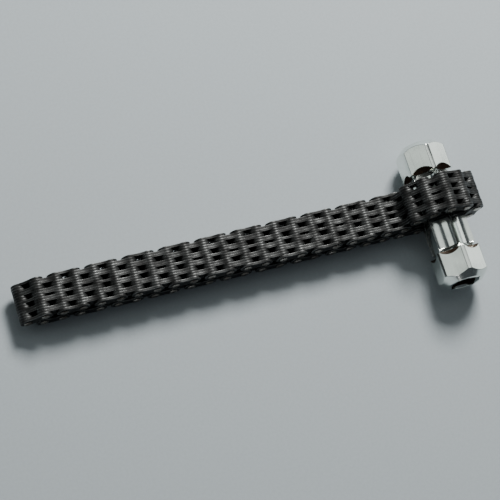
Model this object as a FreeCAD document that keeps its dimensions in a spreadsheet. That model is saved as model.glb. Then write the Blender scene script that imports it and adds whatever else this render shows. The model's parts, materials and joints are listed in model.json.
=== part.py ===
import FreeCAD, Part

import math
import os

import Sketcher

# Oil filter wrench: a leaf chain, doubled into a flat strap and hooked over a fluted hexagonal driver.
# X runs along the chain towards the driver, Y across the chain and Z up.  The origin lies on the table
# under the middle of the whole tool.  Lengths are millimetres and angles are degrees.

SIZES = {
    # leaf chain
    "pitch": 9.525,
    "plate_radius": 3.875,
    "outer_plate_drop": 0.10,
    "waist_radius": 13.25,
    "plate_thick": 1.30,
    "plate_gap": 0.03,
    "pin_radius": 1.70,
    "pin_play": 0.05,
    "rivet_play": 0.01,
    "head_radius": 2.15,
    "head_thick": 0.55,
    "head_gap": 0.12,
    "head_bevel": 0.20,
    "strand_gap": 1.10,
    # driver
    "across_flats": 24.0,
    "land_radius": 13.3,
    "driver_length": 77.0,
    "hex_length": 17.0,
    "end_radius": 9.5,
    "cusp_radius": 11.8,
    "undercut_depth": 1.5,
    "undercut_length": 2.8,
    "flute_radius": 8.45,
    "flute_distance": 16.25,
    "runout_radius": 9.2,
    "runout_centre": 15.84,
    "square_size": 12.8,
    "square_depth": 15.0,
    "mouth_radius": 7.6,
    "mouth_depth": 1.2,
    # where the chain is anchored in the driver, from the driver's axis
    "anchor_left": 2.542,
    "anchor_drop": 8.790,
    "anchor_near_end": 26.0,
    "anchor_far_end": 36.6,
    "anchor_bore_play": 0.005,
    "slot_clearance": 0.35,
    "slot_side_clearance": 0.40,
    "chain_offset": 6.5,
}

LANES = 15
OUTER_LANES = (0, 3, 4, 7, 10, 11, 14)
FLUTES = 6
BOTTOM_LINKS = 21
TOP_LINKS = 20
HOOK_HEADINGS = (60.0, 35.0, 19.0, -18.0, -38.0, -100.0)
ACROSS = FreeCAD.Vector(0, -1, 0)


class Term:
    """A number together with the sheet expression that gives it."""

    def __init__(self, value, text=None):
        self.value = float(value)
        self.text = text or f"{self.value:.6f}"

    def _join(self, other, sign, value):
        other = other if isinstance(other, Term) else Term(other)
        return Term(value(self.value, other.value), f"({self.text} {sign} {other.text})")

    def __add__(self, other):
        return self._join(other, "+", lambda a, b: a + b)

    def __sub__(self, other):
        return self._join(other, "-", lambda a, b: a - b)

    def __mul__(self, other):
        return self._join(other, "*", lambda a, b: a * b)

    def __truediv__(self, other):
        return self._join(other, "/", lambda a, b: a / b)

    def __neg__(self):
        return Term(0) - self


def size(alias):
    """The driving dimension of that name as a term."""
    return Term(SIZES[alias], f"Sizes.{alias}")


def make_sheet(doc):
    """The spreadsheet that holds every driving dimension."""
    sheet = doc.addObject("Spreadsheet::Sheet", "Sizes")
    for row, (alias, value) in enumerate(SIZES.items(), start=1):
        sheet.set(f"A{row}", alias)
        sheet.set(f"B{row}", str(value))
        sheet.setAlias(f"B{row}", alias)
    doc.recompute()
    return sheet


def new_body(doc, label):
    body = doc.addObject("PartDesign::Body", label)
    body.Label = label
    return body


def new_sketch(body, role, name, lift=None):
    """A sketch on one of the body's own origin planes, lifted along the plane's normal."""
    plane = next(f for f in body.Origin.OriginFeatures if f.Role == role)
    sketch = body.newObject("Sketcher::SketchObject", name)
    sketch.AttachmentSupport = (plane, [""])
    sketch.MapMode = "FlatFace"
    if lift is not None:
        sketch.setExpression("AttachmentOffset.Base.z", lift.text)
    return sketch


def bind(sketch, constraint, term):
    """Adds a dimension to a sketch and ties it to the sheet."""
    index = sketch.addConstraint(constraint)
    sketch.setExpression(f"Constraints[{index}]", term.text)


def polygon(sketch, corners):
    """A closed outline with every corner placed by the sheet."""
    first = sketch.GeometryCount
    points = [FreeCAD.Vector(x.value, y.value, 0) for x, y in corners]
    for start, end in zip(points, points[1:] + points[:1]):
        sketch.addGeometry(Part.LineSegment(start, end), False)
    for step, (x, y) in enumerate(corners):
        edge = first + step
        following = first + (step + 1) % len(corners)
        sketch.addConstraint(Sketcher.Constraint("Coincident", edge, 2, following, 1))
        bind(sketch, Sketcher.Constraint("DistanceX", -1, 1, edge, 1, x.value), x)
        bind(sketch, Sketcher.Constraint("DistanceY", -1, 1, edge, 1, y.value), y)


def circle(sketch, x, y, radius):
    """A circle whose centre and radius come from the sheet."""
    centre = FreeCAD.Vector(x.value, y.value, 0)
    normal = FreeCAD.Vector(0, 0, 1)
    edge = sketch.addGeometry(Part.Circle(centre, normal, radius.value), False)
    bind(sketch, Sketcher.Constraint("Radius", edge, radius.value), radius)
    bind(sketch, Sketcher.Constraint("DistanceX", -1, 1, edge, 3, x.value), x)
    bind(sketch, Sketcher.Constraint("DistanceY", -1, 1, edge, 3, y.value), y)


def cut(body, before):
    """Recomputes the body and stops if its last feature took nothing away."""
    body.Document.recompute()
    if body.Shape.Volume > before - 0.1:
        raise RuntimeError(f"{body.Tip.Name} cuts nothing")


# --- leaf chain ---------------------------------------------------------------------------------


def chain_width():
    return (size("plate_thick") + size("plate_gap")) * LANES - size("plate_gap")


def plate_outline(sketch, end_radius, hole):
    """A waisted link plate between two pins a pitch apart, with the first pin at the origin."""
    pitch, end, waist = SIZES["pitch"], end_radius.value, SIZES["waist_radius"]
    reach = end + waist
    height = math.sqrt(reach**2 - (pitch / 2) ** 2)
    lean = math.atan2(height, pitch / 2)
    up = FreeCAD.Vector(0, 0, 1)
    arcs = (
        ((0, 0), end, lean, 2 * math.pi - lean),
        ((pitch, 0), end, lean - math.pi, math.pi - lean),
        ((pitch / 2, height), waist, math.pi + lean, 2 * math.pi - lean),
        ((pitch / 2, -height), waist, lean, math.pi - lean),
    )
    for (x, y), radius, start, stop in arcs:
        round_edge = Part.Circle(FreeCAD.Vector(x, y, 0), up, radius)
        sketch.addGeometry(Part.ArcOfCircle(round_edge, start, stop), False)
    left, right, top, bottom = range(4)
    joins = ((left, 1, top, 1), (top, 2, right, 2), (right, 1, bottom, 1), (bottom, 2, left, 2))
    for join in joins:
        sketch.addConstraint(Sketcher.Constraint("Tangent", *join))
    sketch.addConstraint(Sketcher.Constraint("Coincident", left, 3, -1, 1))
    sketch.addConstraint(Sketcher.Constraint("PointOnObject", right, 3, -1))
    bind(sketch, Sketcher.Constraint("DistanceX", left, 3, right, 3, pitch), size("pitch"))
    bind(sketch, Sketcher.Constraint("Radius", left, end), end_radius)
    bind(sketch, Sketcher.Constraint("Radius", right, end), end_radius)
    bind(sketch, Sketcher.Constraint("Radius", top, waist), size("waist_radius"))
    bind(sketch, Sketcher.Constraint("Radius", bottom, waist), size("waist_radius"))
    circle(sketch, Term(0), Term(0), hole)
    circle(sketch, size("pitch"), Term(0), hole)


def make_plate(doc, lane):
    """One link plate in its own lane across the chain.  Outer plates are a little lower, so that only
    the inner ones rub."""
    outer = lane in OUTER_LANES
    body = new_body(doc, f"plate_{lane:02d}")
    sketch = new_sketch(body, "XZ_Plane", f"plate_outline_{lane:02d}")
    end_radius = size("plate_radius") - size("outer_plate_drop") if outer else size("plate_radius")
    plate_outline(sketch, end_radius, size("pin_radius") + size("rivet_play" if outer else "pin_play"))
    pad = body.newObject("PartDesign::Pad", f"plate_pad_{lane:02d}")
    pad.Profile = sketch
    pad.setExpression("Length", "Sizes.plate_thick")
    middle = (size("plate_thick") + size("plate_gap")) * (lane - LANES // 2)
    body.setExpression("Placement.Base.y", (middle + size("plate_thick") / 2).text)
    return body


def make_link_pin(doc, name, along):
    """A pin with a peened head outside each outermost plate."""
    body = new_body(doc, name)
    sketch = new_sketch(body, "XY_Plane", f"{name}_profile")
    shaft, head, bevel = size("pin_radius"), size("head_radius"), size("head_bevel")
    under_head = chain_width() / 2 + size("head_gap")
    tip = under_head + size("head_thick")
    half = [
        (Term(0), tip),
        (head - bevel, tip),
        (head, tip - bevel),
        (head, under_head),
        (shaft, under_head),
    ]
    mirrored = [(x, -y) for x, y in reversed(half)]
    polygon(sketch, half + mirrored)
    turned = body.newObject("PartDesign::Revolution", f"{name}_turned")
    turned.Profile = sketch
    turned.ReferenceAxis = (sketch, ["V_Axis"])
    turned.Angle = 360
    body.setExpression("Placement.Base.x", along.text)
    return body


def compound(doc, label, pieces):
    group = doc.addObject("Part::Compound", label)
    group.Label = label
    group.Links = pieces
    return group


def make_link_patterns(doc):
    """The two kinds of link: outer ones carry the pins, inner ones turn on them."""
    plates = [make_plate(doc, lane) for lane in range(LANES)]
    pins = [make_link_pin(doc, "first_pin", Term(0)), make_link_pin(doc, "second_pin", size("pitch"))]
    outer = [plates[lane] for lane in OUTER_LANES] + pins
    inner = [plates[lane] for lane in range(LANES) if lane not in OUTER_LANES]
    return compound(doc, "inner_link", inner), compound(doc, "outer_link", outer)


def chain_pins(axis_z):
    """Pin centres (x, z) from the anchor to the free end, measured from the folded end of the chain,
    and the x of the driver's axis."""
    pitch, radius = SIZES["pitch"], SIZES["plate_radius"]
    low = radius
    high = low + 2 * radius + SIZES["strand_gap"]
    step = math.sqrt(pitch**2 - ((high - low) / 2) ** 2)
    bottom = [(step + pitch * n, low) for n in range(BOTTOM_LINKS, -1, -1)]
    top = [(step + pitch * n, high) for n in range(TOP_LINKS + 1)]
    hook = [top[-1]]
    for heading in HOOK_HEADINGS:
        x, z = hook[-1]
        turn = math.radians(heading)
        hook.append((x + pitch * math.cos(turn), z + pitch * math.sin(turn)))
    axis_x = hook[3][0]
    anchor = (axis_x - SIZES["anchor_left"], axis_z - SIZES["anchor_drop"])
    return [anchor] + bottom + [(0.0, (low + high) / 2)] + top + hook[1:], axis_x


def place_links(doc, patterns, pins, middle):
    """A copy of its pattern for every link, from the anchored one to the free end."""
    links = []
    for number, (start, end) in enumerate(zip(pins, pins[1:]), start=1):
        heading = math.degrees(math.atan2(end[1] - start[1], end[0] - start[0]))
        kind = "inner" if number % 2 else "outer"
        link = compound(doc, f"{kind}_link_{number:02d}", [patterns[(number + 1) % 2]])
        position = FreeCAD.Vector(start[0] - middle, SIZES["chain_offset"], start[1])
        link.Placement = FreeCAD.Placement(position, FreeCAD.Rotation(ACROSS, heading))
        links.append(link)
    return links


# --- driver -------------------------------------------------------------------------------------


def hexagon(sketch):
    """A hexagon with one corner straight up."""
    flat = size("across_flats") / 2
    corner = flat / math.cos(math.pi / 6)
    corners = []
    for step in range(6):
        turn = math.radians(90 + 60 * step)
        corners.append((corner * math.cos(turn), corner * math.sin(turn)))
    polygon(sketch, corners)


def turned_waste(sketch):
    """What the lathe takes off: the corner lands, the end chamfers and the thinner fluted middle."""
    half = size("driver_length") / 2
    shoulder = half - size("hex_length")
    land, cusp, end = size("land_radius"), size("cusp_radius"), size("end_radius")
    outside = size("across_flats") * 0.75
    overrun = Term(1)
    upper = [
        (cusp, shoulder - size("undercut_length")),
        (cusp - size("undercut_depth"), shoulder),
        (land, shoulder),
        (land, half - (land - end)),
        (end - overrun, half + overrun),
        (outside, half + overrun),
    ]
    lower = [(x, -y) for x, y in reversed(upper)]
    polygon(sketch, upper + lower)


def flute_waste(body):
    """Half the outline of one flute's round tool, which has ball ends: a sketch on the flute's axis."""
    sketch = new_sketch(body, "XY_Plane", "flute_profile")
    sketch.setExpression("AttachmentOffset.Base.x", "Sizes.flute_distance")
    radius, ball, centre = SIZES["flute_radius"], SIZES["runout_radius"], SIZES["runout_centre"]
    rise = math.sqrt(ball**2 - radius**2)
    spread = math.atan2(rise, radius)
    up = FreeCAD.Vector(0, 0, 1)
    far_ball = Part.Circle(FreeCAD.Vector(0, centre, 0), up, ball)
    near_ball = Part.Circle(FreeCAD.Vector(0, -centre, 0), up, ball)
    corner = [FreeCAD.Vector(-radius, side * (centre + rise), 0) for side in (-1, 1)]
    tip = [FreeCAD.Vector(0, side * (centre + ball), 0) for side in (-1, 1)]
    sketch.addGeometry(Part.LineSegment(*corner), False)
    sketch.addGeometry(Part.ArcOfCircle(far_ball, math.pi / 2, math.pi - spread), False)
    sketch.addGeometry(Part.LineSegment(tip[1], tip[0]), False)
    sketch.addGeometry(Part.ArcOfCircle(near_ball, math.pi + spread, 1.5 * math.pi), False)
    floor, far, axis, near = range(4)
    joins = ((floor, 2, far, 2), (far, 1, axis, 1), (axis, 2, near, 2), (near, 1, floor, 1))
    for join in joins:
        sketch.addConstraint(Sketcher.Constraint("Coincident", *join))
    for centred in (far, near):
        sketch.addConstraint(Sketcher.Constraint("PointOnObject", centred, 3, -2))
        bind(sketch, Sketcher.Constraint("Radius", centred, ball), size("runout_radius"))
    sketch.addConstraint(Sketcher.Constraint("PointOnObject", axis, 1, -2))
    sketch.addConstraint(Sketcher.Constraint("PointOnObject", axis, 2, -2))
    sketch.addConstraint(Sketcher.Constraint("Vertical", floor))
    back = -size("flute_radius")
    bind(sketch, Sketcher.Constraint("DistanceX", -1, 1, floor, 1, back.value), back)
    bind(sketch, Sketcher.Constraint("DistanceY", -1, 1, far, 3, centre), size("runout_centre"))
    bind(sketch, Sketcher.Constraint("DistanceY", near, 3, -1, 1, centre), size("runout_centre"))
    return sketch


def origin_feature(body, role):
    return next(f for f in body.Origin.OriginFeatures if f.Role == role)


def add_groove(body, name, sketch):
    before = body.Shape.Volume
    groove = body.newObject("PartDesign::Groove", name)
    groove.Profile = sketch
    groove.ReferenceAxis = (sketch, ["V_Axis"])
    groove.Angle = 360
    cut(body, before)
    return groove


def add_pocket(body, name, sketch, length, reverse):
    before = body.Shape.Volume
    pocket = body.newObject("PartDesign::Pocket", name)
    pocket.Profile = sketch
    pocket.setExpression("Length", length.text)
    pocket.Reversed = reverse
    cut(body, before)
    return pocket


def cut_flutes(body):
    """Six flutes, one in line with each flat of the hexagon."""
    groove = add_groove(body, "flute", flute_waste(body))
    before = body.Shape.Volume
    pattern = body.newObject("PartDesign::PolarPattern", "flutes")
    pattern.Originals = [groove]
    pattern.Axis = (origin_feature(body, "Y_Axis"), [""])
    pattern.Occurrences = FLUTES
    pattern.Angle = 360
    body.Tip = pattern
    cut(body, before)


def cut_drive_square(body, side, name):
    """The square drive recess in one end, with a turned lead-in at its mouth."""
    half = size("driver_length") / 2
    sketch = new_sketch(body, "XZ_Plane", f"{name}_square", half * side)
    edge = size("square_size") / 2
    polygon(sketch, [(edge, edge), (-edge, edge), (-edge, -edge), (edge, -edge)])
    add_pocket(body, f"{name}_recess", sketch, size("square_depth"), side < 0)
    mouth = new_sketch(body, "XY_Plane", f"{name}_mouth")
    face = half * -side
    inside = (half - size("mouth_depth")) * -side
    wide, narrow = size("mouth_radius"), size("mouth_radius") - size("mouth_depth")
    polygon(mouth, [(Term(0), face), (wide, face), (narrow, inside), (Term(0), inside)])
    add_groove(body, f"{name}_lead_in", mouth)


def cut_anchor(body):
    """The long bore for the anchor pin and the slot in which the first link turns."""
    left, drop = -size("anchor_left"), -size("anchor_drop")
    half = size("driver_length") / 2
    bore = new_sketch(body, "XZ_Plane", "anchor_bore_circle", -half)
    circle(bore, left, drop, size("pin_radius") + size("anchor_bore_play"))
    add_pocket(body, "anchor_bore", bore, half + size("anchor_near_end"), True)
    slot_half = chain_width() / 2 + size("slot_side_clearance")
    slot = new_sketch(body, "XZ_Plane", "anchor_slot_outline", -size("chain_offset") - slot_half)
    slot_outline(slot, left, drop)
    add_pocket(body, "anchor_slot", slot, slot_half * 2, True)


def slot_outline(sketch, left, drop):
    """A long round-ended slot over the first link, open to the side where the chain leaves."""
    radius = size("plate_radius") + size("slot_clearance")
    up = FreeCAD.Vector(0, 0, 1)
    near = FreeCAD.Vector(left.value, drop.value, 0)
    far = FreeCAD.Vector(left.value - SIZES["pitch"], drop.value, 0)
    reach = radius.value
    right_end = Part.Circle(near, up, reach)
    left_end = Part.Circle(far, up, reach)
    sketch.addGeometry(Part.ArcOfCircle(right_end, -math.pi / 2, math.pi / 2), False)
    sketch.addGeometry(Part.ArcOfCircle(left_end, math.pi / 2, 1.5 * math.pi), False)
    rise = FreeCAD.Vector(0, reach, 0)
    sketch.addGeometry(Part.LineSegment(near + rise, far + rise), False)
    sketch.addGeometry(Part.LineSegment(far - rise, near - rise), False)
    for join in ((0, 2, 2, 1), (2, 2, 1, 1), (1, 2, 3, 1), (3, 2, 0, 1)):
        sketch.addConstraint(Sketcher.Constraint("Tangent", *join))
    bind(sketch, Sketcher.Constraint("Radius", 0, reach), radius)
    bind(sketch, Sketcher.Constraint("DistanceX", -1, 1, 0, 3, left.value), left)
    bind(sketch, Sketcher.Constraint("DistanceY", -1, 1, 0, 3, drop.value), drop)
    bind(sketch, Sketcher.Constraint("DistanceX", 1, 3, 0, 3, SIZES["pitch"]), size("pitch"))
    sketch.addConstraint(Sketcher.Constraint("Horizontal", 2))


def make_driver(doc, position):
    """The chromed driver: hexagon, six flutes, hexagon, with a square drive recess in each end."""
    body = new_body(doc, "driver_body")
    outline = new_sketch(body, "XZ_Plane", "hexagon")
    hexagon(outline)
    blank = body.newObject("PartDesign::Pad", "hexagon_bar")
    blank.Profile = outline
    blank.setExpression("Length", "Sizes.driver_length")
    blank.Midplane = True
    doc.recompute()
    waste = new_sketch(body, "XY_Plane", "turned_profile")
    turned_waste(waste)
    add_groove(body, "turning", waste)
    cut_flutes(body)
    cut_drive_square(body, 1, "near")
    cut_drive_square(body, -1, "far")
    cut_anchor(body)
    body.Placement = FreeCAD.Placement(position, FreeCAD.Rotation())
    return body


def make_anchor_pin(doc, axis):
    """The plain pin that holds the first link in the driver's slot."""
    body = new_body(doc, "anchor_pin")
    sketch = new_sketch(body, "XY_Plane", "anchor_pin_profile")
    radius, bevel = size("pin_radius"), size("head_bevel")
    near, far = -size("anchor_near_end"), size("anchor_far_end")
    corners = [
        (Term(0), near),
        (radius - bevel, near),
        (radius, near + bevel),
        (radius, far - bevel),
        (radius - bevel, far),
        (Term(0), far),
    ]
    polygon(sketch, corners)
    turned = body.newObject("PartDesign::Revolution", "anchor_pin_turned")
    turned.Profile = sketch
    turned.ReferenceAxis = (sketch, ["V_Axis"])
    turned.Angle = 360
    offset = FreeCAD.Vector(-SIZES["anchor_left"], 0, -SIZES["anchor_drop"])
    body.Placement = FreeCAD.Placement(axis + offset, FreeCAD.Rotation())
    return body


# --- the whole tool -----------------------------------------------------------------------------


def check(doc, pieces):
    for item in doc.Objects:
        if {"Invalid", "Error"} & set(item.State):
            raise RuntimeError(f"{item.Label} failed: {item.State}")
    for piece in pieces:
        if piece.Shape.isNull() or not piece.Shape.isValid():
            raise RuntimeError(f"{piece.Label} has no valid shape")


def main():
    doc = FreeCAD.newDocument("oil_filter_wrench")
    make_sheet(doc)
    axis_z = SIZES["land_radius"]
    pins, axis_x = chain_pins(axis_z)
    middle = max(x for x, _ in pins) / 2
    axis = FreeCAD.Vector(axis_x - middle, 0, axis_z)
    pieces = [make_driver(doc, axis), make_anchor_pin(doc, axis)]
    pieces += place_links(doc, make_link_patterns(doc), pins, middle)
    doc.recompute()
    check(doc, pieces)
    os.makedirs("parts", exist_ok=True)
    for piece in pieces:
        piece.Shape.exportStep(f"parts/{piece.Label}.step")
    print(f"{len(pieces)} pieces, axis at x {axis.x:.3f}, driver {pieces[0].Shape.Volume:.1f} mm3")


main()
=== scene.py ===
import json
import logging
import math
import random
from dataclasses import dataclass
from enum import Enum
from typing import Sequence

import bpy
import numpy as np
from mathutils import Matrix, Vector


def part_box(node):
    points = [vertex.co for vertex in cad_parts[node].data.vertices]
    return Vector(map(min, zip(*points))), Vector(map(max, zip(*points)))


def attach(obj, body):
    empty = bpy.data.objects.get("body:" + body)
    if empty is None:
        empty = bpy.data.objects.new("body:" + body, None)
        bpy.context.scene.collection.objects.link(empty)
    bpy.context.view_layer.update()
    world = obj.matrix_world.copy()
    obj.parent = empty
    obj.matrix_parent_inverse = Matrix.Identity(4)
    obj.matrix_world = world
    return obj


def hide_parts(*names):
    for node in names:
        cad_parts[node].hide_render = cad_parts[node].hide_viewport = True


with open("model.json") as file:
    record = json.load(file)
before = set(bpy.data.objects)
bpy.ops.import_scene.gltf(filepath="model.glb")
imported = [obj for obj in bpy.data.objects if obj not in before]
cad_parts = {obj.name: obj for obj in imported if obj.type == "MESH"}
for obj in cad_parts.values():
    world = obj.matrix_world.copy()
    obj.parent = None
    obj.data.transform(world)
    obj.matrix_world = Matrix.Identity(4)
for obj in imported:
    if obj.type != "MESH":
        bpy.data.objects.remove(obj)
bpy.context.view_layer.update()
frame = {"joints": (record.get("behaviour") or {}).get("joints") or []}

# Oil filter wrench: a leaf chain doubled into a strap and hooked over a chromed, fluted driver.
# Lengths are in millimetres until a mesh or the camera is made, and in metres for the floor and lights.

MM = 0.001
LOG = logging.getLogger("wrench")

Span = tuple[float, float]
Point = tuple[float, float, float]
Face = tuple[int, ...]

FULL: Span = (0.0, 1.0)
# The colour sockets of a Mix node: two inputs and one output.
MIX_FIRST, MIX_SECOND, MIX_RESULT = 6, 7, 2


class Lane(Enum):
    """Which lanes across the chain a link's plates fill."""

    OUTER = (0, 3, 4, 7, 10, 11, 14)
    INNER = (1, 2, 5, 6, 8, 9, 12, 13)


class Slot(Enum):
    """The record's material slots."""

    CHROME = "chrome_steel"
    PIN = "pin_steel"
    CHAIN = "black_chain"


# --- node helpers -------------------------------------------------------------------------------


class NodeGraph:
    """A short way to add and join shader nodes in one material."""

    def __init__(self, name: str) -> None:
        """Starts a fresh material with a Principled shader.

        Args:
            name: the material's name.
        """
        self.material = bpy.data.materials.new(name)
        self.material.use_nodes = True
        self.tree = self.material.node_tree
        self.tree.nodes.clear()
        self.shader = self.add("ShaderNodeBsdfPrincipled")
        output = self.add("ShaderNodeOutputMaterial")
        self.join(self.shader.outputs["BSDF"], output.inputs["Surface"])

    def add(self, kind: str, **settings: object) -> bpy.types.Node:
        """Adds a node.

        Args:
            kind: the node's type name.
            settings: properties to set on it.

        Returns:
            The new node.
        """
        node = self.tree.nodes.new(kind)
        for key, value in settings.items():
            setattr(node, key, value)
        return node

    def join(self, source: bpy.types.NodeSocket, target: bpy.types.NodeSocket) -> None:
        """Links one socket to another."""
        self.tree.links.new(source, target)

    def noise(self, scale: float, detail: float = 4.0, stretch: Point = (1, 1, 1)) -> bpy.types.NodeSocket:
        """Noise in the object's own space.

        Args:
            scale: cells per metre.
            detail: octaves.
            stretch: scale along X, Y and Z.

        Returns:
            The noise's factor.
        """
        place = self.add("ShaderNodeTexCoord")
        mapping = self.add("ShaderNodeMapping")
        mapping.inputs["Scale"].default_value = stretch
        texture = self.add("ShaderNodeTexNoise")
        texture.inputs["Scale"].default_value = scale
        texture.inputs["Detail"].default_value = detail
        self.join(place.outputs["Object"], mapping.inputs["Vector"])
        self.join(mapping.outputs["Vector"], texture.inputs["Vector"])
        return texture.outputs["Fac"]

    def spread(self, source: bpy.types.NodeSocket, band: Span, result: Span = FULL) -> bpy.types.NodeSocket:
        """Maps a range of values onto another, clamped.

        Args:
            source: the value.
            band: the values that give the two ends of the result.
            result: the result at each end of the band.

        Returns:
            The mapped value.
        """
        node = self.add("ShaderNodeMapRange")
        for key, value in zip(("From Min", "From Max", "To Min", "To Max"), (*band, *result)):
            node.inputs[key].default_value = value
        self.join(source, node.inputs["Value"])
        return node.outputs["Result"]

    def blend(self, share: bpy.types.NodeSocket, first: object, second: object) -> bpy.types.NodeSocket:
        """Mixes two colours.

        Args:
            share: how much of the second colour shows.
            first: a colour or a socket.
            second: a colour or a socket.

        Returns:
            The mixed colour.
        """
        node = self.add("ShaderNodeMix", data_type="RGBA")
        self.join(share, node.inputs[0])
        for number, colour in ((MIX_FIRST, first), (MIX_SECOND, second)):
            socket = node.inputs[number]
            if isinstance(colour, bpy.types.NodeSocket):
                self.join(colour, socket)
            else:
                socket.default_value = (*colour, 1.0)
        return node.outputs[MIX_RESULT]

    def sum_up(self, operation: str, first: bpy.types.NodeSocket,
               second: bpy.types.NodeSocket) -> bpy.types.NodeSocket:
        """Works out one value from two.

        Args:
            operation: the Math node's operation.
            first: the first value.
            second: the second value.

        Returns:
            The result's socket.
        """
        node = self.add("ShaderNodeMath", operation=operation)
        self.join(first, node.inputs[0])
        self.join(second, node.inputs[1])
        return node.outputs[0]

    def bump(self, height: bpy.types.NodeSocket, strength: float, distance_mm: float) -> None:
        """Roughens the surface by a height texture.

        Args:
            height: the texture's value.
            strength: from 0 to 1.
            distance_mm: the height that a value of 1 stands for.
        """
        node = self.add("ShaderNodeBump")
        node.inputs["Strength"].default_value = strength
        node.inputs["Distance"].default_value = distance_mm * MM
        self.join(height, node.inputs["Height"])
        self.join(node.outputs["Normal"], self.shader.inputs["Normal"])


# --- finishes -----------------------------------------------------------------------------------


@dataclass(frozen=True)
class ChromePlate:
    """Bright chrome over turned and milled steel, with faint haze and handling marks."""

    tint: Point = (0.86, 0.90, 0.86)
    haze: Point = (0.74, 0.79, 0.75)
    cloud_scale: float = 90.0
    streak_scale: float = 900.0
    streak_stretch: Point = (1.0, 0.06, 1.0)
    wave_scale: float = 260.0
    haze_band: Span = (0.45, 0.75)
    cloud_rough: Span = (0.10, 0.20)
    streak_rough: Span = (0.0, 0.07)

    def material(self) -> bpy.types.Material:
        """Returns the chrome material."""
        graph = NodeGraph("bright_chrome")
        cloud = graph.noise(self.cloud_scale, detail=5.0)
        streaks = graph.noise(self.streak_scale, detail=3.0, stretch=self.streak_stretch)
        graph.join(graph.blend(graph.spread(cloud, self.haze_band), self.tint, self.haze),
                   graph.shader.inputs["Base Color"])
        rough = graph.sum_up("ADD", graph.spread(cloud, (0.3, 0.8), self.cloud_rough),
                             graph.spread(streaks, (0.5, 0.8), self.streak_rough))
        graph.join(rough, graph.shader.inputs["Roughness"])
        graph.shader.inputs["Metallic"].default_value = 1.0
        graph.bump(graph.noise(self.wave_scale, detail=2.0), strength=0.12, distance_mm=0.05)
        return graph.material


@dataclass(frozen=True)
class RecessShadeSteel:
    """Dark, brownish steel painted into the drive recesses and the flutes' run-outs, standing in for the
    shade and dark reflections there.
    """

    # grey and brown: dark colours painted into the recesses and run-outs as painted shade and painted dark
    # reflection.
    grey: Point = (0.095, 0.072, 0.055)
    brown: Point = (0.060, 0.030, 0.015)
    cloud_scale: float = 220.0
    groove_scale: float = 1600.0
    groove_stretch: Point = (1.0, 0.04, 1.0)
    brown_band: Span = (0.35, 0.65)
    rough: Span = (0.38, 0.58)

    def material(self) -> bpy.types.Material:
        """Returns the recess material, a painted shade."""
        graph = NodeGraph("recess_painted_shade")
        cloud = graph.noise(self.cloud_scale, detail=4.0)
        grooves = graph.noise(self.groove_scale, detail=2.0, stretch=self.groove_stretch)
        graph.join(graph.blend(graph.spread(cloud, self.brown_band), self.grey, self.brown),
                   graph.shader.inputs["Base Color"])
        graph.join(graph.spread(grooves, (0.3, 0.7), self.rough), graph.shader.inputs["Roughness"])
        graph.shader.inputs["Metallic"].default_value = 1.0
        graph.bump(grooves, strength=0.35, distance_mm=0.06)
        return graph.material


@dataclass(frozen=True)
class BlackOxide:
    """Blackened, lightly oiled steel, bright along its edges: partly worn bare, partly a painted highlight.
    """

    black: Point = (0.010, 0.010, 0.010)
    faded: Point = (0.019, 0.019, 0.019)
    # The bright edge colour: partly bare metal, partly a painted highlight on the bevels.
    bare_and_lit: Point = (0.25, 0.26, 0.26)
    metallic: float = 0.85
    cloud_scale: float = 140.0
    speck_scale: float = 1500.0
    scuff_scale: float = 230.0
    fade_band: Span = (0.40, 0.68)
    scuff_band: Span = (0.36, 0.66)
    scuff_share: Span = (0.15, 1.0)
    rough: Span = (0.40, 0.62)
    polish: Span = (0.0, 0.16)

    def material(self) -> bpy.types.Material:
        """Returns the chain's material."""
        graph = NodeGraph("black_oxide")
        cloud = graph.noise(self.cloud_scale, detail=5.0)
        speck = graph.noise(self.speck_scale, detail=4.0)
        scuff = graph.noise(self.scuff_scale, detail=3.0)
        edge = graph.add("ShaderNodeAttribute", attribute_name="wear_and_highlight").outputs["Fac"]
        ground = graph.blend(graph.spread(cloud, self.fade_band), self.black, self.faded)
        # Edges are lightened towards the bright colour: partly real wear, partly painted highlight.
        worn_and_lit = graph.sum_up("MULTIPLY", edge, graph.spread(scuff, self.scuff_band, self.scuff_share))
        graph.join(graph.blend(worn_and_lit, ground, self.bare_and_lit), graph.shader.inputs["Base Color"])
        rough = graph.sum_up("SUBTRACT", graph.spread(speck, (0.3, 0.75), self.rough),
                             graph.spread(worn_and_lit, FULL, self.polish))
        graph.join(rough, graph.shader.inputs["Roughness"])
        graph.shader.inputs["Metallic"].default_value = self.metallic
        graph.bump(speck, strength=0.15, distance_mm=0.05)
        return graph.material


@dataclass(frozen=True)
class HardenedPin:
    """Ground steel of the rivet ends and the anchor pin, oiled and slightly browned."""

    bright: Point = (0.40, 0.38, 0.35)
    oiled: Point = (0.07, 0.06, 0.05)
    cloud_scale: float = 300.0
    scratch_scale: float = 1200.0
    oil_band: Span = (0.40, 0.65)
    rough: Span = (0.22, 0.42)

    def material(self) -> bpy.types.Material:
        """Returns the pin material."""
        graph = NodeGraph("hardened_pin")
        cloud = graph.noise(self.cloud_scale, detail=4.0)
        graph.join(graph.blend(graph.spread(cloud, self.oil_band), self.bright, self.oiled),
                   graph.shader.inputs["Base Color"])
        graph.join(graph.spread(cloud, (0.3, 0.7), self.rough), graph.shader.inputs["Roughness"])
        graph.shader.inputs["Metallic"].default_value = 1.0
        graph.bump(graph.noise(self.scratch_scale, detail=3.0), strength=0.15, distance_mm=0.04)
        return graph.material


@dataclass(frozen=True)
class PaleFloor:
    """A plain matt surface."""

    colour: Point = (0.42, 0.47, 0.50)
    shade: float = 0.94
    grain_scale: float = 700.0
    rough: float = 0.85

    def material(self) -> bpy.types.Material:
        """Returns the floor's material."""
        graph = NodeGraph("pale_floor")
        grain = graph.spread(graph.noise(self.grain_scale, detail=3.0), (0.3, 0.7))
        darker = tuple(self.shade * c for c in self.colour)
        graph.join(graph.blend(grain, self.colour, darker), graph.shader.inputs["Base Color"])
        graph.shader.inputs["Roughness"].default_value = self.rough
        return graph.material


# --- mesh helpers -------------------------------------------------------------------------------


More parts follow.
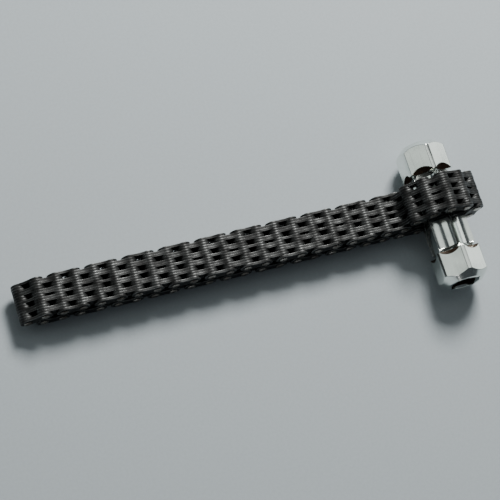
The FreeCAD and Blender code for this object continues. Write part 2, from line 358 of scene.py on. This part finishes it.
@dataclass
class MeshParts:
    """Points, faces and edge wear with painted highlight of a mesh that is being put together, in
    millimetres.
    """

    points: list[Point]
    faces: list[Face]
    wear_and_highlight: list[float]

    def placed(self, place: Matrix) -> "MeshParts":
        """Returns a copy moved by a matrix."""
        moved = [tuple(place @ Vector(p)) for p in self.points]
        return MeshParts(moved, self.faces, self.wear_and_highlight)

    def add(self, other: "MeshParts") -> None:
        """Joins another mesh's points and faces to this one.

        Args:
            other: the mesh to add.
        """
        start = len(self.points)
        self.points = self.points + other.points
        self.faces = self.faces + [tuple(i + start for i in face) for face in other.faces]
        self.wear_and_highlight = self.wear_and_highlight + other.wear_and_highlight

    def build(self, name: str, material: bpy.types.Material, sharp_deg: float = 42.0) -> bpy.types.Object:
        """Makes the object.

        Args:
            name: the piece's name.
            material: its finish.
            sharp_deg: edges that turn by more than this stay sharp.

        Returns:
            The new object, in the scene.
        """
        mesh = bpy.data.meshes.new(name)
        mesh.from_pydata([tuple(c * MM for c in p) for p in self.points], [], self.faces)
        mesh.polygons.foreach_set("use_smooth", [True] * len(mesh.polygons))
        worn_and_lit = mesh.attributes.new("wear_and_highlight", "FLOAT", "POINT")
        worn_and_lit.data.foreach_set("value", self.wear_and_highlight)
        mesh.materials.append(material)
        mesh.update()
        mesh.set_sharp_from_angle(angle=math.radians(sharp_deg))
        piece = bpy.data.objects.new(name, mesh)
        bpy.context.scene.collection.objects.link(piece)
        flat = piece.modifiers.new("flat faces", "WEIGHTED_NORMAL")
        flat.keep_sharp = True
        return piece


def rings(loops: Sequence[Sequence[int]]) -> list[Face]:
    """Quads between each closed loop of points and the next.

    Args:
        loops: lists of point numbers, all of one length.

    Returns:
        The quads.
    """
    quads: list[Face] = []
    count = len(loops[0])
    for near, far in zip(loops, loops[1:]):
        for i in range(count):
            j = (i + 1) % count
            quads.append((near[i], near[j], far[j], far[i]))
    return quads


def arc(x: float, z: float, radius: float, start: float, stop: float, steps: int) -> list[Span]:
    """Points along an arc, without its last one.

    Args:
        x: the centre's x.
        z: the centre's z.
        radius: the arc's radius.
        start: the angle in radians where it starts.
        stop: the angle in radians where it stops.
        steps: how many points it has.

    Returns:
        (x, z) points.
    """
    turns = [start + (stop - start) * n / steps for n in range(steps)]
    return [(x + radius * math.cos(a), z + radius * math.sin(a)) for a in turns]


def declare(piece: bpy.types.Object, body: str, node: str) -> None:
    """Ties a piece to its body, hides the node that it stands for, and logs it.

    Args:
        piece: the piece.
        body: the body that it rides on.
        node: the CAD node that it replaces.
    """
    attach(piece, body)
    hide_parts(node)
    LOG.info("%s rides %s, %d faces", piece.name, body, len(piece.data.polygons))


# --- chain --------------------------------------------------------------------------------------


@dataclass
class LinkPlate:
    """A waisted plate stamped from strip, with rolled edges and two pin holes."""

    pitch: float = 9.525
    end_radius: float = 3.875
    waist_radius: float = 13.25
    thick: float = 1.30
    edge: float = 0.14
    hole_radius: float = 1.74
    end_steps: int = 22
    waist_steps: int = 8
    edge_steps: int = 3
    web_steps: int = 4
    # Edge values: partly wear, partly a painted highlight along the bevels and rims.
    edge_wear_and_highlight: float = 1.0
    rim_wear_and_highlight: float = 0.4

    def outline(self, inset: float) -> list[Span]:
        """The plate's outline, drawn in by an inset.

        Args:
            inset: how far inside the full outline.

        Returns:
            (x, z) points, from the middle of the upper waist round the first pin's end.
        """
        reach = self.end_radius + self.waist_radius
        height = math.sqrt(reach**2 - (self.pitch / 2) ** 2)
        lean = math.atan2(height, self.pitch / 2)
        end, waist = self.end_radius - inset, self.waist_radius + inset
        half = self.waist_steps // 2
        middle, pi = self.pitch / 2, math.pi
        points = arc(middle, height, waist, 1.5 * pi, pi + lean, half)
        points += arc(0, 0, end, lean, 2 * pi - lean, self.end_steps)
        points += arc(middle, -height, waist, pi - lean, lean, self.waist_steps)
        points += arc(self.pitch, 0, end, lean - pi, pi - lean, self.end_steps)
        points += arc(middle, height, waist, 2 * pi - lean, 1.5 * pi, half)
        return points

    def parts(self) -> MeshParts:
        """Returns the plate's mesh, its first pin at the origin and its faces across Y."""
        points: list[Point] = []
        wear_and_highlight: list[float] = []
        levels: list[list[int]] = []
        profile: list[Point] = []
        for n in range(self.edge_steps + 1):
            turn = 0.5 * math.pi * n / self.edge_steps
            inset = self.edge * (1 - math.sin(turn))
            across = self.thick / 2 - self.edge * (1 - math.cos(turn))
            shine = self.edge_wear_and_highlight if 0 < n < self.edge_steps else self.rim_wear_and_highlight
            profile.append((inset, across, shine))
        mirror = [(inset, -across, shine) for inset, across, shine in reversed(profile)]
        profile += [(0.0, 0.0, 0.0)] + mirror
        for inset, across, shine in profile:
            loop = self.outline(inset)
            levels.append(list(range(len(points), len(points) + len(loop))))
            points += [(x, across, z) for x, z in loop]
            wear_and_highlight += [shine] * len(loop)
        faces = rings(levels)
        for side, level in ((1, levels[0]), (-1, levels[-1])):
            faces += self.face(points, wear_and_highlight, level, side)
        return MeshParts(points, faces, wear_and_highlight)

    def face(self, points: list[Point], wear_and_highlight: list[float], level: list[int], side: int) -> list[Face]:
        """One flat face: a ring of quads round each hole.

        Args:
            points: the mesh's points, added to here.
            wear_and_highlight: the edge wear with painted highlight of each point, added to here.
            level: the outline's point numbers on this side.
            side: 1 for the far face, -1 for the near one.

        Returns:
            The face's quads and the near half of each hole's wall.
        """
        across = side * self.thick / 2
        low = 2 * (self.waist_steps // 2) + self.end_steps
        top, bottom = level[0], level[low]
        middle = []
        for n in range(1, self.web_steps):
            z = points[bottom][2] + (points[top][2] - points[bottom][2]) * n / self.web_steps
            middle.append(len(points))
            points.append((self.pitch / 2, across, z))
            wear_and_highlight.append(0.0)
        loops = (
            (0.0, level[: low + 1] + middle),
            (self.pitch, level[low:] + [top] + middle[::-1]),
        )
        faces: list[Face] = []
        for centre, loop in loops:
            hole, wall = [], []
            for i in loop:
                turn = math.atan2(points[i][2], points[i][0] - centre)
                x, z = centre + self.hole_radius * math.cos(turn), self.hole_radius * math.sin(turn)
                hole.append(len(points))
                points.append((x, across, z))
                wall.append(len(points))
                points.append((x, 0.0, z))
                wear_and_highlight += [0.0, 0.0]
            bands = rings([loop, hole, wall])
            faces += bands if side < 0 else [quad[::-1] for quad in bands]
        return faces


@dataclass
class RivetPin:
    """A link pin with a peened head at each end."""

    radius: float = 1.70
    head_radius: float = 2.15
    under_head: float = 10.08
    head_thick: float = 0.55
    neck: float = 0.3
    steps: int = 28

    def parts(self) -> MeshParts:
        """Returns the pin's mesh, centred on the origin along Y."""
        # Radius, distance from the middle and edge wear with painted highlight, from the dished end to the
        # neck.
        tip = self.under_head + self.head_thick
        half = [
            (0.0, tip - 0.16, 0.1),
            (0.55, tip - 0.14, 0.2),
            (0.95, tip - 0.02, 0.9),
            (1.35, tip, 0.9),
            (self.head_radius - 0.22, tip - 0.10, 1.0),
            (self.head_radius - 0.06, tip - 0.22, 0.8),
            (self.head_radius, tip - 0.38, 0.5),
            (self.head_radius, self.under_head, 0.1),
            (self.radius, self.under_head, 0.0),
            (self.radius, self.under_head - self.neck, 0.0),
        ]
        profile = half + [(r, -y, w) for r, y, w in reversed(half)]
        return turned(profile, self.steps)


def turned(profile: Sequence[Point], steps: int) -> MeshParts:
    """A solid turned about Y.

    Args:
        profile: (radius, y, wear_and_highlight) from one end to the other.
        steps: points round the axis.

    Returns:
        The mesh.
    """
    smallest = 0.02
    points: list[Point] = []
    wear_and_highlight: list[float] = []
    loops: list[list[int]] = []
    for radius, y, shine in profile:
        reach = max(radius, smallest)
        loop = []
        for n in range(steps):
            turn = 2 * math.pi * n / steps
            loop.append(len(points))
            points.append((reach * math.cos(turn), y, reach * math.sin(turn)))
            wear_and_highlight.append(shine)
        loops.append(loop)
    faces = rings(loops)
    faces.append(tuple(loops[0][::-1]))
    faces.append(tuple(loops[-1]))
    return MeshParts(points, faces, wear_and_highlight)


@dataclass
class LeafChain:
    """Fifty links from the driver's slot along the table, round the fold and over the driver."""

    oxide: bpy.types.Material
    pin_steel: bpy.types.Material
    lane_pitch: float = 1.33
    lanes: int = 15
    play: float = 0.03
    tilt_deg: float = 0.5
    inner_end: float = 3.875
    outer_end: float = 3.775
    seed: int = 11

    def pivots(self) -> list[Vector]:
        """The pin centres from the anchor to the free end.

        Returns:
            The centres in millimetres, one more than there are joints.
        """
        joints = sorted(frame["joints"], key=lambda joint: joint["name"])
        centres = [Vector(joint["pos_m"]) / MM for joint in joints]
        low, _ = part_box(self.node(len(joints)))
        end = self.outer_end
        centres.append(Vector((low[0] / MM + end, centres[-1].y, low[2] / MM + end)))
        return centres

    @staticmethod
    def node(number: int) -> str:
        """The CAD node of a link."""
        return f"{'inner' if number % 2 else 'outer'}_link_{number:02d}"

    def build(self) -> None:
        """Makes every link."""
        dice = random.Random(self.seed)
        plates = {Lane.INNER: LinkPlate(end_radius=self.inner_end).parts(),
                  Lane.OUTER: LinkPlate(end_radius=self.outer_end).parts()}
        pin = RivetPin().parts()
        centres = self.pivots()
        for number, (start, end) in enumerate(zip(centres, centres[1:]), start=1):
            turn = math.atan2(end.z - start.z, end.x - start.x)
            place = Matrix.Translation(start) @ Matrix.Rotation(-turn, 4, "Y")
            lanes = Lane.INNER if number % 2 else Lane.OUTER
            body, node = f"link_{number:02d}", self.node(number)
            stack = self.stack(plates[lanes], lanes, place, dice)
            declare(stack.build(f"{node}.plates", self.oxide), body, node)
            if lanes is Lane.OUTER:
                pins = self.pins(pin, place)
                declare(pins.build(f"{node}.pins", self.pin_steel), body, node)

    def stack(self, plate: MeshParts, lanes: Lane, place: Matrix, dice: random.Random) -> MeshParts:
        """One link's plates.

        Args:
            plate: the plate's mesh.
            lanes: which lanes are filled.
            place: where the link's first pin is and how the link is turned.
            dice: gives each plate its small play on the pins.

        Returns:
            The plates as one mesh.
        """
        stack = MeshParts([], [], [])
        for lane in lanes.value:
            y = (lane - self.lanes // 2) * self.lane_pitch
            slip = Vector((dice.uniform(-1, 1) * self.play, y, dice.uniform(-1, 1) * self.play))
            lean = Matrix.Rotation(math.radians(dice.uniform(-1, 1) * self.tilt_deg), 4, "Y")
            stack.add(plate.placed(place @ Matrix.Translation(slip) @ lean))
        return stack

    def pins(self, pin: MeshParts, place: Matrix) -> MeshParts:
        """The two riveted pins of an outer link.

        Args:
            pin: the pin's mesh.
            place: where the link's first pin is and how the link is turned.

        Returns:
            The pins as one mesh.
        """
        pair = MeshParts([], [], [])
        for along in (0.0, LinkPlate.pitch):
            pair.add(pin.placed(place @ Matrix.Translation((along, 0.0, 0.0))))
        return pair


# --- driver -------------------------------------------------------------------------------------


@dataclass
class Driver:
    """The chromed bar: hexagon, six flutes, hexagon, with a square drive recess in each end."""

    chrome: bpy.types.Material
    recess_shade_steel: bpy.types.Material
    pin_steel: bpy.types.Material
    flat: float = 12.0
    land: float = 13.3
    half_length: float = 38.5
    shoulder: float = 21.5
    end_radius: float = 9.5
    cusp: float = 11.8
    undercut: float = 1.5
    undercut_length: float = 2.8
    flute_radius: float = 8.45
    flute_distance: float = 16.25
    runout_radius: float = 9.2
    runout_centre: float = 15.84
    half_square: float = 6.4
    square_depth: float = 15.0
    mouth_radius: float = 7.6
    mouth_depth: float = 1.2
    edge_round: float = 0.10
    cusp_round: float = 0.40
    shoulder_round: float = 0.25
    shoulder_slope: float = 0.8
    rim_round: float = 0.12
    recess_depths: tuple[float, ...] = (0.0, 0.1, 0.4, 0.8, 1.2, 1.6, 3.0, 6.0, 10.0, 14.9)
    floor_shares: tuple[float, ...] = (0.985, 0.7, 0.35, 0.01)
    steps: int = 720
    fine_step: float = 0.1
    waist_step: float = 0.6
    flat_step: float = 0.5
    runout_reach: float = 3.4
    scoop_reach: float = 4.0
    chamfer_reach: float = 4.4
    shoulder_marks: tuple[float, ...] = (-0.01, 0.01, 0.06, 0.12, 0.18)
    rim_marks: tuple[float, ...] = (0.12, 0.05, 0.0)
    sharp_deg: float = 50.0
    pin_radius: float = 1.70
    pin_bevel: float = 0.25
    pin_steps: int = 40
    anchor: Span = (-2.542, -8.790)
    bore_radius: float = 1.705
    bore_start: float = -26.0
    bore_steps: int = 48
    slot_radius: float = 4.225
    slot_span: Span = (-3.86, 16.86)
    slot_steps: int = 24
    overshoot: float = 1.0

    def axis(self) -> Vector:
        """The middle of the driver's axis, in millimetres."""
        low, high = (Vector(corner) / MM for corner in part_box("driver_body"))
        return Vector(((low.x + high.x) / 2, (low.y + high.y) / 2, low.z + self.land))

    def lathe(self, y: float) -> float:
        """The turned outline's radius.

        Args:
            y: the distance along the axis.

        Returns:
            The radius there.
        """
        side = abs(y)
        if side <= self.shoulder:
            sunk = max(0.0, side - (self.shoulder - self.undercut_length)) / self.undercut_length
            return self.cusp - self.undercut * sunk
        slope = self.end_radius + (self.half_length - side)
        edge = self.land - max(0.0, self.shoulder_round - (side - self.shoulder)) * self.shoulder_slope
        return min(slope, edge)

    def flute(self, y: float) -> float:
        """The flute tool's radius.

        Args:
            y: the distance along the axis.

        Returns:
            The radius there, 0 beyond its ball ends.
        """
        past = abs(y) - self.runout_centre
        rise = math.sqrt(self.runout_radius**2 - self.flute_radius**2)
        if past <= rise:
            return self.flute_radius
        return math.sqrt(max(0.0, self.runout_radius**2 - past**2))

    def radius(self, y: float, turns: np.ndarray) -> np.ndarray:
        """The outer surface's radius.

        Args:
            y: the distance along the axis.
            turns: angles round the axis.

        Returns:
            The radius at each angle.
        """
        across = (turns + math.pi / 6) % (math.pi / 3) - math.pi / 6
        surface = soft_min(self.flat / np.cos(across), np.full_like(turns, self.lathe(y)), self.edge_round)
        untouched = 1e3
        tool = self.flute(y)
        if tool > 0:
            along = self.flute_distance * np.cos(across)
            inside = along**2 - self.flute_distance**2 + tool**2
            hit = np.where(inside > 0, along - np.sqrt(np.maximum(inside, 0.0)), untouched)
            surface = soft_min(surface, hit, self.cusp_round)
        return surface

    def stations(self) -> list[float]:
        """Distances along the axis at which the surface is sampled, closer together at its features.

        Returns:
            The distances, from the near end to the far one.
        """
        half, shoulder, fine = self.half_length, self.shoulder, self.fine_step
        runs = (
            (0.0, shoulder - (self.runout_reach + fine), self.waist_step),
            (shoulder - self.runout_reach, shoulder, fine),
            (shoulder + self.shoulder_round, shoulder + self.scoop_reach, fine),
            (shoulder + (self.scoop_reach + 2 * fine), half - self.chamfer_reach, self.flat_step),
            (half - self.chamfer_reach, half - 2 * fine, fine),
        )
        marks = {shoulder + mark for mark in self.shoulder_marks} | {half - mark for mark in self.rim_marks}
        for start, stop, step in runs:
            marks |= set(np.round(np.arange(start, stop, step), 4))
        positive = sorted(marks)
        return [-y for y in reversed(positive) if y > 0] + positive

    def bore(self, depth: float, turns: np.ndarray) -> np.ndarray:
        """The drive recess's radius at a depth inside the end face."""
        square = self.half_square / np.maximum(np.abs(np.cos(turns)), np.abs(np.sin(turns)))
        return np.maximum(square, self.mouth_radius - depth)

    def loops(self, turns: np.ndarray) -> list[tuple[float, np.ndarray]]:
        """Every loop of the skin, from the far recess's floor to the near one's.

        Args:
            turns: angles round the axis.

        Returns:
            Each loop's distance along the axis and its radii.
        """
        outside = [(y, self.radius(y, turns)) for y in self.stations()]
        for end in (0, -1):
            outside[end] = (outside[end][0], outside[end][1] - self.rim_round)
        recess = [(depth, self.bore(depth, turns)) for depth in self.recess_depths]
        floor = self.bore(self.square_depth, turns)
        recess += [(self.square_depth, floor * share) for share in self.floor_shares]
        near = [(depth - self.half_length, ring) for depth, ring in recess]
        far = [(self.half_length - depth, ring) for depth, ring in reversed(recess)]
        return far + outside[::-1] + near

    def skin(self) -> MeshParts:
        """Returns the driver's closed skin, centred on its own axis."""
        turns = np.linspace(0.0, 2 * math.pi, self.steps, endpoint=False)
        points: list[Point] = []
        numbers: list[list[int]] = []
        for y, ring in self.loops(turns):
            numbers.append(list(range(len(points), len(points) + self.steps)))
            xs, zs = ring * np.cos(turns), ring * np.sin(turns)
            points += [(float(x), float(y), float(z)) for x, z in zip(xs, zs)]
        faces = rings(numbers)
        faces.append(tuple(numbers[0][::-1]))
        faces.append(tuple(numbers[-1]))
        return MeshParts(points, faces, [0.0] * len(points))

    def cutters(self, axis: Vector) -> list[bpy.types.Object]:
        """The anchor pin's bore and the slot for the first link, as solids to cut away.

        Args:
            axis: the middle of the driver's axis.

        Returns:
            The two solids, placed.
        """
        x, z = self.anchor
        near, far = self.slot_span
        reach, bore_reach = self.slot_radius, self.bore_radius
        slot = []
        for middle, start in ((x, -90), (x - LinkPlate.pitch, 90)):
            slot += [(middle + reach * math.cos(a), z + reach * math.sin(a))
                     for a in spans(start, start + 180, self.slot_steps)]
        bore = [(x + bore_reach * math.cos(a), z + bore_reach * math.sin(a))
                for a in spans(0, 360, self.bore_steps)[:-1]]
        past_end = self.half_length + self.overshoot
        solids = (("slot", slot, near, far), ("bore", bore, self.bore_start, past_end))
        place = Matrix.Translation(axis)
        return [prism(outline, low, high).placed(place).build(f"driver_body.{name}", self.chrome)
                for name, outline, low, high in solids]

    def paint_recess_shade(self, body: bpy.types.Object, axis: Vector) -> None:
        """Paints the drive recesses and the flutes' run-outs dark with the recess material, as painted
        shade.

        Args:
            body: the driver's skin.
            axis: the middle of the driver's axis.
        """
        body.data.materials.append(self.recess_shade_steel)
        below_floor, past_corner, past_shoulder, under_skin = 0.1, 0.05, 0.02, 0.12
        floor = self.half_length - self.square_depth - below_floor
        mouth = self.half_length - self.mouth_depth
        corner = self.half_square * math.sqrt(2.0) + past_corner
        for face in body.data.polygons:
            place = Vector(face.center) / MM - axis
            reach, side = math.hypot(place.x, place.z), abs(place.y)
            across = (math.atan2(place.z, place.x) + math.pi / 6) % (math.pi / 3) - math.pi / 6
            recessed = reach < corner and floor < side < mouth
            outline = min(self.flat / math.cos(across), self.lathe(side))
            scooped = side > self.shoulder + past_shoulder and corner < reach < outline - under_skin
            runout = scooped and side < self.runout_centre + self.runout_radius
            # Faces in the recesses and run-outs get the dark recess material: painted shade and painted
            # dark reflection.
            face.material_index = 1 if recessed or runout else 0

    def build(self) -> None:
        """Makes the driver's skin and the anchor pin."""
        axis = self.axis()
        skin = self.skin().placed(Matrix.Translation(axis))
        body = skin.build("driver_body.skin", self.chrome, self.sharp_deg)
        carve(body, self.cutters(axis), self.sharp_deg)
        self.paint_recess_shade(body, axis)
        declare(body, "driver", "driver_body")
        low, high = (Vector(corner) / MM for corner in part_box("anchor_pin"))
        half = (high.y - low.y) / 2
        tip = [
            (0.0, half, 0.0),
            (self.pin_radius - self.pin_bevel, half, 0.4),
            (self.pin_radius, half - self.pin_bevel, 0.6),
        ]
        profile = tip + [(r, -y, w) for r, y, w in reversed(tip)]
        pin = turned(profile, self.pin_steps).placed(Matrix.Translation((low + high) / 2))
        declare(pin.build("anchor_pin.rod", self.pin_steel), "driver", "anchor_pin")


def spans(start_deg: float, stop_deg: float, steps: int) -> list[float]:
    """Evenly spaced angles in radians from one angle in degrees to another, both included."""
    return [math.radians(start_deg + (stop_deg - start_deg) * n / steps) for n in range(steps + 1)]


def prism(outline: Sequence[Span], near: float, far: float) -> MeshParts:
    """A solid of one outline along Y.

    Args:
        outline: (x, z) points, anticlockwise seen from -Y.
        near: where it starts.
        far: where it ends.

    Returns:
        The mesh.
    """
    count = len(outline)
    points = [(x, y, z) for y in (far, near) for x, z in outline]
    back, front = list(range(count)), list(range(count, 2 * count))
    faces = rings([back, front]) + [tuple(back[::-1]), tuple(front)]
    return MeshParts(points, faces, [0.0] * len(points))


def carve(piece: bpy.types.Object, cutters: Sequence[bpy.types.Object], sharp_deg: float) -> None:
    """Cuts solids out of a piece and removes them.

    Args:
        piece: the piece that is cut.
        cutters: the solids.
        sharp_deg: edges that turn by more than this stay sharp.
    """
    piece.modifiers.clear()
    for cutter in cutters:
        cutter.modifiers.clear()
        cut = piece.modifiers.new(cutter.name, "BOOLEAN")
        cut.operation, cut.solver, cut.object = "DIFFERENCE", "MANIFOLD", cutter
    graph = bpy.context.evaluated_depsgraph_get()
    mesh = bpy.data.meshes.new_from_object(piece.evaluated_get(graph))
    piece.modifiers.clear()
    piece.data = mesh
    for cutter in cutters:
        bpy.data.objects.remove(cutter)
    mesh.set_sharp_from_angle(angle=math.radians(sharp_deg))
    piece.modifiers.new("flat faces", "WEIGHTED_NORMAL").keep_sharp = True
    LOG.info("%s after cutting: %d faces", piece.name, len(mesh.polygons))


def soft_min(first: np.ndarray, second: np.ndarray, width: float) -> np.ndarray:
    """The smaller of two surfaces with their shared edge rounded over."""
    share = np.clip(0.5 + 0.5 * (second - first) / width, 0.0, 1.0)
    return second * (1 - share) + first * share - width * share * (1 - share)


# --- studio -------------------------------------------------------------------------------------


@dataclass(frozen=True)
class Panel:
    """One soft rectangular light: lengths in metres, power in watts."""

    name: str
    place: Point
    aim: Point
    width: float
    height: float
    power: float
    colour: Point = (1.0, 1.0, 1.0)

    def build(self) -> None:
        """Hangs the light."""
        light = bpy.data.lights.new(self.name, "AREA")
        light.shape = "RECTANGLE"
        light.size, light.size_y = self.width, self.height
        light.energy = self.power
        light.color = self.colour
        lamp = bpy.data.objects.new(self.name, light)
        lamp.location = self.place
        lamp.rotation_euler = (Vector(self.aim) - Vector(self.place)).to_track_quat("-Z", "Y").to_euler()
        bpy.context.scene.collection.objects.link(lamp)


HEAD: Point = (0.10, 0.0, 0.013)
PANELS = (
    Panel("key", (0.45, 0.78, 0.86), (0.03, 0.0, 0.0), 0.40, 0.40, 26.0, (1.0, 0.99, 0.96)),
    Panel("overhead", (0.25, 0.27, 1.0), (0.10, 0.02, 0.013), 1.10, 0.36, 1.0, (0.95, 1.0, 0.97)),
    Panel("left bounce", (-0.62, 0.26, 0.56), HEAD, 0.36, 0.60, 0.55, (0.93, 1.0, 0.95)),
    Panel("right bounce", (1.02, 0.26, 0.32), HEAD, 0.36, 0.50, 0.75, (0.95, 1.0, 0.97)),
    Panel("front glint", (-0.25, -0.80, 0.20), HEAD, 0.22, 0.16, 0.5),
)


@dataclass
class Studio:
    """A pale floor, soft lights and the camera."""

    floor_half: float = 3.0
    sky: Point = (0.80, 0.90, 1.0)
    sky_strength: float = 0.06
    azimuth_deg: float = -43.1
    elevation_deg: float = 67.9
    roll_deg: float = 27.5
    distance: float = 929.0
    target: Point = (-0.7, 6.2, 10.2)
    lens: float = 132.4
    sensor: float = 36.0
    clip: Span = (0.05, 20.0)

    def floor(self) -> None:
        """Lays the floor under the tool."""
        half = self.floor_half
        mesh = bpy.data.meshes.new("floor")
        corners = [(-half, -half, 0.0), (half, -half, 0.0), (half, half, 0.0), (-half, half, 0.0)]
        mesh.from_pydata(corners, [], [(0, 1, 2, 3)])
        mesh.materials.append(PaleFloor().material())
        floor = bpy.data.objects.new("floor", mesh)
        bpy.context.scene.collection.objects.link(floor)

    def lights(self) -> None:
        """Lights the tool softly from above and behind."""
        world = bpy.data.worlds.new("studio")
        world.use_nodes = True
        backdrop = world.node_tree.nodes["Background"]
        backdrop.inputs["Color"].default_value = (*self.sky, 1.0)
        backdrop.inputs["Strength"].default_value = self.sky_strength
        bpy.context.scene.world = world
        for panel in PANELS:
            panel.build()

    def camera(self) -> None:
        """Sets the camera up."""
        turn, rise = math.radians(self.azimuth_deg), math.radians(self.elevation_deg)
        away = Vector((math.sin(turn) * math.cos(rise), -math.cos(turn) * math.cos(rise), math.sin(rise)))
        data = bpy.data.cameras.new("camera")
        data.sensor_width = self.sensor
        data.lens = self.lens
        data.clip_start, data.clip_end = self.clip
        camera = bpy.data.objects.new("camera", data)
        look = (-away).to_track_quat("-Z", "Y").to_matrix().to_4x4()
        camera.matrix_world = (
            Matrix.Translation((Vector(self.target) + away * self.distance) * MM)
            @ look @ Matrix.Rotation(math.radians(self.roll_deg), 4, "Z")
        )
        bpy.context.scene.collection.objects.link(camera)
        bpy.context.scene.camera = camera

    def build(self) -> None:
        """Makes the floor, lights and camera."""
        self.floor()
        self.lights()
        self.camera()


def main() -> None:
    """Builds the driver, the chain and the studio in order."""
    logging.basicConfig(level=logging.INFO, format="%(message)s")
    pin_steel = HardenedPin().material()
    Driver(ChromePlate().material(), RecessShadeSteel().material(), pin_steel).build()
    LeafChain(BlackOxide().material(), pin_steel).build()
    Studio().build()


if __name__ == "__main__":
    main()
